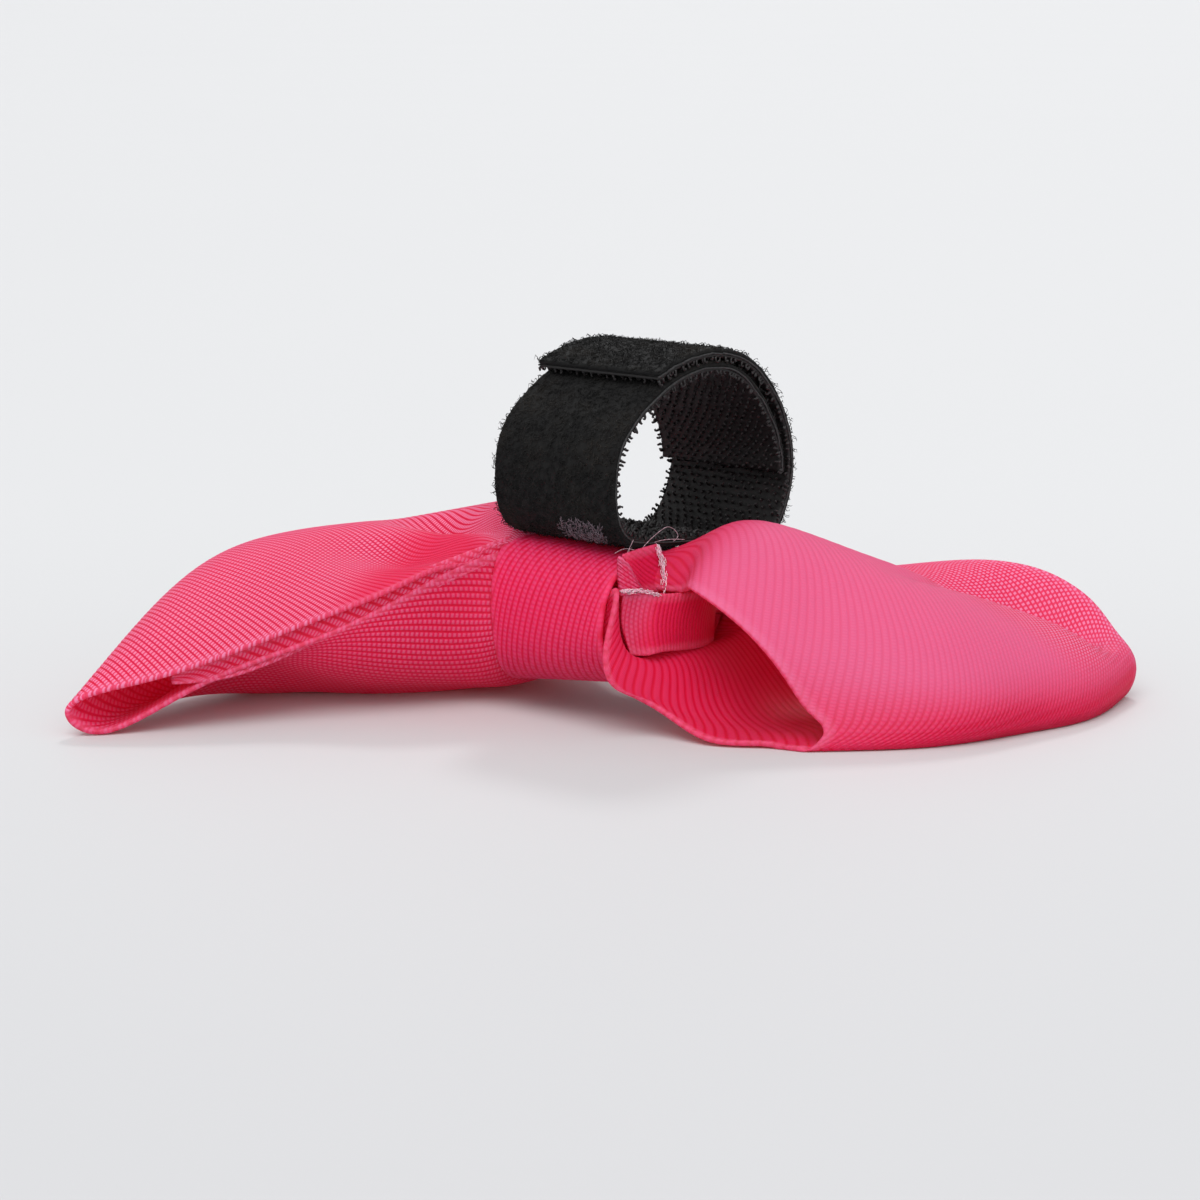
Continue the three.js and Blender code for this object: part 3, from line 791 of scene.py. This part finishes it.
band = ribbon("knot_band_ribbon", pink_band, "pink_band", band_surface, BAND_WIDTH,
              (0.3, 0.3), (1.05, 1.05), 0, half_thick=0.38, edge_radius=0.42)
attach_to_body(band, "root")
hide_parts("knot_band")

# ---------------------------------------------------------------- strap

# The points of the strap's line are this far apart.
LINE_STEP = 4.25
HOOK_FACE = TAPE_GAP / 2 + HOOK_TAPE
PILE_FACE = TAPE_GAP / 2 + PILE_TAPE


def on_strap(at, x, offset):
    """Points at places along the strap's line, at x across it and offset outwards from it.
    The near side of the ring bulges out a little less than the line does."""
    flat_at = np.ravel(at)
    ahead = catmull(STRAP_LINE, np.minimum(flat_at + 0.02, LINE_END))
    behind = catmull(STRAP_LINE, np.maximum(flat_at - 0.02, 0))
    t = unit(ahead - behind)
    out = np.stack([t[:, 1], -t[:, 0]], axis=-1)
    place = catmull(STRAP_LINE, flat_at) + out * np.ravel(np.broadcast_to(offset, np.shape(at)))[:, None]
    place[:, 0] += 1.1 * smooth(-place[:, 0], 6, 14)
    points = np.column_stack([np.ravel(np.broadcast_to(x, np.shape(at))), place])
    return points.reshape(np.shape(at) + (3,))


def tubes(name, paths, radius, material, sides=3, turn=0.4):
    """Thin threads along paths, (count, steps, 3), each closed at both ends."""
    count, steps = paths.shape[:2]
    ahead = unit(np.gradient(paths, axis=1))
    other = np.where(np.abs(ahead[..., :1]) > 0.8, UP, np.array([1.0, 0.0, 0.0]))
    a = unit(np.cross(ahead, other))
    b = np.cross(ahead, a)
    angle = np.arange(sides) / sides * 2 * math.pi + turn
    radius = np.broadcast_to(radius, (count, steps))[..., None, None]
    ring = np.cos(angle)[:, None] * a[:, :, None] + np.sin(angle)[:, None] * b[:, :, None]
    points = paths[:, :, None] + radius * ring
    index = np.arange(count * steps * sides).reshape(count, steps, sides)
    beside = np.roll(index, -1, axis=2)
    walls = np.stack([index[:, :-1], beside[:, :-1], beside[:, 1:], index[:, 1:]], axis=-1).reshape(-1, 4)
    faces = walls.tolist() + index[:, 0, ::-1].tolist() + index[:, -1].tolist()
    return add_mesh(name, points.reshape(-1, 3), faces, material)


def tape(name, start, end, low, high, material, slot, bump, seed, rows_apart=0.0):
    """A flat tape with rounded edges that lies between two offsets from the strap's line."""
    rng = np.random.default_rng(seed)
    steps = int((end - start) * LINE_STEP / 0.3)
    at = np.linspace(start, end, steps)[:, None]
    x = np.linspace(-STRAP_WIDTH / 2 + 0.15, STRAP_WIDTH / 2 - 0.15, 66)[None, :]
    at, x = np.broadcast_arrays(at, x)
    middle, half = (low + high) / 2, (high - low) / 2
    outer = high + bump * rng.uniform(-1, 1, at.shape)
    inner = low - bump * rng.uniform(-1, 1, at.shape)
    if rows_apart:
        woven = np.cos(2 * math.pi * at * LINE_STEP / rows_apart) * np.cos(2 * math.pi * x / 1.5)
        inner = inner - 0.09 * woven
    closing = np.zeros(at.shape)
    closing[[0, -1]] = 1
    outer = outer * (1 - closing) + middle * closing
    inner = inner * (1 - closing) + middle * closing
    ring_at = np.concatenate([at, at[:, -1:], at[:, ::-1], at[:, :1]], axis=1)
    edge = STRAP_WIDTH / 2 + 0.06 * rng.uniform(-1, 1, (steps, 1))
    ring_x = np.concatenate([x, edge, x[:, ::-1], -edge], axis=1)
    rim = np.full((steps, 1), middle)
    ring_offset = np.concatenate([outer, rim, inner[:, ::-1], rim], axis=1)
    points = on_strap(ring_at, ring_x, ring_offset)
    points, faces = welded(points.reshape(-1, 3), grid_faces(steps, points.shape[1], True))
    return add_mesh(name, points, faces, material)


def fuzz(name, start, end, per_mm2, seed, material, length=0.8, height=0.42, x_from=-10.1, x_to=10.1):
    """The pile's loops and loose fibres: short curved threads that lean every way."""
    rng = np.random.default_rng(seed)
    count = int((end - start) * LINE_STEP * (x_to - x_from) * per_mm2)
    at, x = rng.uniform(start, end, count), rng.uniform(x_from, x_to, count)
    way = rng.uniform(0, 2 * math.pi, count)
    bend = rng.normal(0, 0.9, count)
    reach = length * rng.uniform(0.45, 1.15, count)
    clumps = rng.uniform(0.2, 1.4, (int((end - start) * LINE_STEP / 0.6) + 2, 36))
    clump = clumps[((at - start) * LINE_STEP / 0.6).astype(int), ((x + 10.4) / 0.6).astype(int)]
    rise = height * clump * rng.uniform(0.3, 1.0, count)**1.4
    sink = rng.uniform(0, 1, count)
    path = []
    for share, lift in ((0, -0.35), (0.25, 0.55), (0.6, 1.0), (1, 0.75)):
        turned = way + bend * share
        a = at + np.cos(turned) * reach * share / LINE_STEP
        offset = PILE_FACE + rise * lift - (share == 1) * sink * rise
        path.append(on_strap(np.clip(a, start, end), x + np.sin(turned) * reach * share, offset))
    radius = np.array([0.04, 0.052, 0.042, 0.018])
    return tubes(name, np.stack(path, axis=1), radius, material)


HOOK_SHAPE = ((0.0, 0.0), (0.03, 0.45), (0.12, 0.78), (0.38, 1.0), (0.62, 0.84), (0.68, 0.6))


def hooks(name, start, end, x_apart, rows_apart, tall, seed, material, radius=0.17):
    """Rows of small hooks on the strap's inner face, every other row shifted, with barbs at its edges."""
    rng = np.random.default_rng(seed)
    rows = int((end - start) * LINE_STEP / rows_apart)
    columns = int((STRAP_WIDTH - 0.8) / x_apart)
    row, column = np.meshgrid(np.arange(rows), np.arange(columns), indexing="ij")
    at = start + (row + 0.5) * (end - start) / rows
    x = (column - (columns - 1) / 2) * x_apart + 0.25 * x_apart * np.where(row % 2, 1, -1)
    at, x = np.ravel(at), np.ravel(x)
    at = at + rng.normal(0, 0.08, at.size) / LINE_STEP
    x = x + rng.normal(0, 0.06, x.size)
    way = np.where(rng.uniform(0, 1, at.size) < 0.5, 0.6, math.pi - 0.6) + rng.normal(0, 0.25, at.size)
    height = tall * rng.uniform(0.85, 1.1, at.size)
    for side in (-1, 1):
        barb_at = np.arange(start, end, 0.85 / LINE_STEP)
        barb_at = barb_at + rng.uniform(-0.4, 0.4, barb_at.size) / LINE_STEP
        at = np.concatenate([at, barb_at])
        x = np.concatenate([x, np.full(barb_at.size, side * 9.95) + rng.normal(0, 0.08, barb_at.size)])
        way = np.concatenate([way, math.pi / 2 * side + rng.normal(0, 1.3, barb_at.size)])
        height = np.concatenate([height, rng.uniform(0.35, 0.75, barb_at.size)])
    path = []
    for out, up in HOOK_SHAPE:
        a = at + np.cos(way) * out * height * 0.9 / LINE_STEP
        offset = -HOOK_FACE + 0.12 - up * height
        path.append(on_strap(np.clip(a, 0, LINE_END), x + np.sin(way) * out * height * 0.9, offset))
    taper = radius * np.array([1.25, 1.05, 0.95, 0.9, 0.8, 0.55])
    return tubes(name, np.stack(path, axis=1), taper, material, sides=4)


def cut_line(name, start, end, seed):
    """The paler melted edge where the strap was cut to width, along both rims."""
    rng = np.random.default_rng(seed)
    steps = int((end - start) * LINE_STEP / 0.4)
    at = np.linspace(start, end, steps)
    lines = []
    for side in (-1, 1):
        wobble = np.convolve(rng.normal(0, 0.1, steps + 4), np.ones(5) / 5, "valid")
        lines.append(on_strap(at, side * (STRAP_WIDTH / 2 + wobble * 0.4), wobble))
    return tubes(name, np.stack(lines), 0.13, cut_edge, sides=5)


BLENDS = {
    "inner_arm": ("root", "inner_arm", (0, -9, 22.5), (0, -9, 28)),
    "outer_arm": ("root", "outer_arm", (0, 20, 19.5), (0, 20, 25)),
    "tab": ("outer_arm", "tab", (0, 12.5, 44), (0, 7, 44)),
}


def attach(piece, stretch):
    """The base rides on the knot. The other stretches keep their own place, with their transforms baked in.
    """
    if stretch not in BLENDS:
        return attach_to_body(piece, "root")
    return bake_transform(piece)


# For each stretch of strap: where it starts and ends on the strap's line, how far apart its rows of
# hooks and the hooks in a row are, and how tall the hooks are.
STRETCHES = {
    "inner_arm": (0, INNER_ARM_TO, 0.8, 1.3, 0.5),
    "base": (INNER_ARM_TO, BASE_TO, 1.15, 1.25, 0.75),
    "outer_arm": (BASE_TO, OUTER_ARM_TO, 1.15, 1.25, 0.75),
    "tab": (OUTER_ARM_TO, LINE_END, 1.15, 1.25, 0.7),
}
# How far the tapes of neighbouring stretches run past their joint, in points of the strap's line.
TAPE_OVERLAP = 0.1
for number, (stretch, (start, end, rows_apart, x_apart, tall)) in enumerate(STRETCHES.items()):
    name = "strap_" + stretch
    overlap = (max(start - TAPE_OVERLAP, 0), min(end + TAPE_OVERLAP, LINE_END))
    pile = tape(name + "_pile_tape", *overlap, TAPE_GAP / 2 - 0.08, PILE_FACE, black_pile, "black_pile",
                0.05, 10 + number)
    backing = tape(name + "_hook_tape", *overlap, -HOOK_FACE, -TAPE_GAP / 2 + 0.08, hook_back, "black_hook",
                   0.02, 20 + number, rows_apart)
    fibres = fuzz(name + "_fuzz", start, end, 7, 30 + number, pile_fibre)
    rows = hooks(name + "_hooks", start, end, x_apart, rows_apart, tall, 40 + number, black_hook)
    rim = cut_line(name + "_cut_edge", start, end, 50 + number)
    for piece in (pile, backing, fibres, rows, rim):
        attach(piece, stretch)
    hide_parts(name + "_pile")
    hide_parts(name + "_hook")

# ---------------------------------------------------------------- stitching and loose ends


def tack_stitches():
    """Where the strap is sewn down: pale thread pulled through the pile, and fibres torn loose."""
    rng = np.random.default_rng(7)
    count = 230
    spread = rng.uniform(-1, 1, (count, 2))
    at = 12.75 + 0.45 * spread[:, 0] * np.sqrt(1 - 0.5 * spread[:, 1]**2)
    x = 3.6 + 3.4 * spread[:, 1] + 0.8 * (at - 12.7)
    way = rng.uniform(0, 2 * math.pi, count)
    reach = rng.uniform(0.3, 1.2, count)
    path = []
    for share, lift in ((0, 0.05), (0.3, 0.35), (0.7, 0.38), (1, 0.1)):
        turned = way + 1.6 * share
        spot = at + np.cos(turned) * reach * share / LINE_STEP
        path.append(on_strap(spot, x + np.sin(turned) * reach * share, PILE_FACE + lift))
    return tubes("tack_stitches", np.stack(path, axis=1), 0.045, grey_thread)


def loose_ends():
    """A few cut thread ends that curl up where the strap meets the knot."""
    shapes = [
        [(9.2, -6.0, 21.9), (9.6, -4.6, 23.1), (9.8, -3.0, 23.0), (9.6, -2.0, 22.2), (9.4, -2.6, 21.6)],
        [(9.8, -4.8, 21.8), (10.6, -3.6, 23.3), (10.4, -1.2, 24.2), (10.2, 0.9, 24.2), (10.4, 1.9, 23.2),
         (10.8, 0.6, 22.6)],
        [(9.9, -7.2, 21.8), (10.4, -6.9, 23.0), (10.2, -6.2, 23.6)],
        [(9.4, -3.8, 22.2), (10.4, -1.0, 22.9), (11.4, 2.0, 22.7)],
        [(8.8, -8.0, 22.0), (9.5, -7.0, 22.5), (10.2, -6.0, 22.3)],
    ]
    paths = []
    for shape in shapes:
        points = np.array(shape, float)
        knots = chord_knots(points)
        paths.append(spline(points, knots, np.linspace(0, 1, 24) * knots[-1]))
    return tubes("loose_thread_ends", np.stack(paths), 0.04, loose_thread, sides=5)


def pale_crease_fibres():
    """The sharp folds of the pleats, marked pale: many short pale fibres laid along each of them."""
    rng = np.random.default_rng(11)
    lines = (
        ([(10.4, -8.8, 17.5), (11.4, -7.3, 17.6), (12.6, -5.6, 17.2), (13.2, -4.6, 16.8)], 0.5),
        ([(10.9, -2.6, 22.5), (11.2, -2.1, 20.6), (11.5, -2.0, 18.4), (11.9, -2.6, 16.4)], 0.5),
    )
    paths = []
    for line, half_width in lines:
        count = 150
        start = rng.uniform(0, len(line) - 1.35, count)
        aside = rng.normal(0, half_width / 2, (count, 1, 3))
        at = start[:, None] + np.linspace(0, 0.35, 4)[None, :]
        corners = np.array(line)
        spots = np.stack([np.interp(at, np.arange(len(line)), corners[:, k]) for k in range(3)], axis=-1)
        outwards = np.array([0.35, -0.3, 0.12])
        paths.append(spots + aside * (0.6, 0.6, 0.5) + outwards + rng.normal(0, 0.05, spots.shape))
    return tubes("pale_crease_fibres", np.concatenate(paths), 0.055, crease_thread)


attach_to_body(pale_crease_fibres(), "root")
stitches = tack_stitches()
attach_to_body(stitches, "root")
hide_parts("strap_tack_thread")
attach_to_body(loose_ends(), "root")

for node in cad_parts.values():
    if node.hide_render:
        continue
    node.data.materials.clear()
    node.data.materials.append(pink_thread)
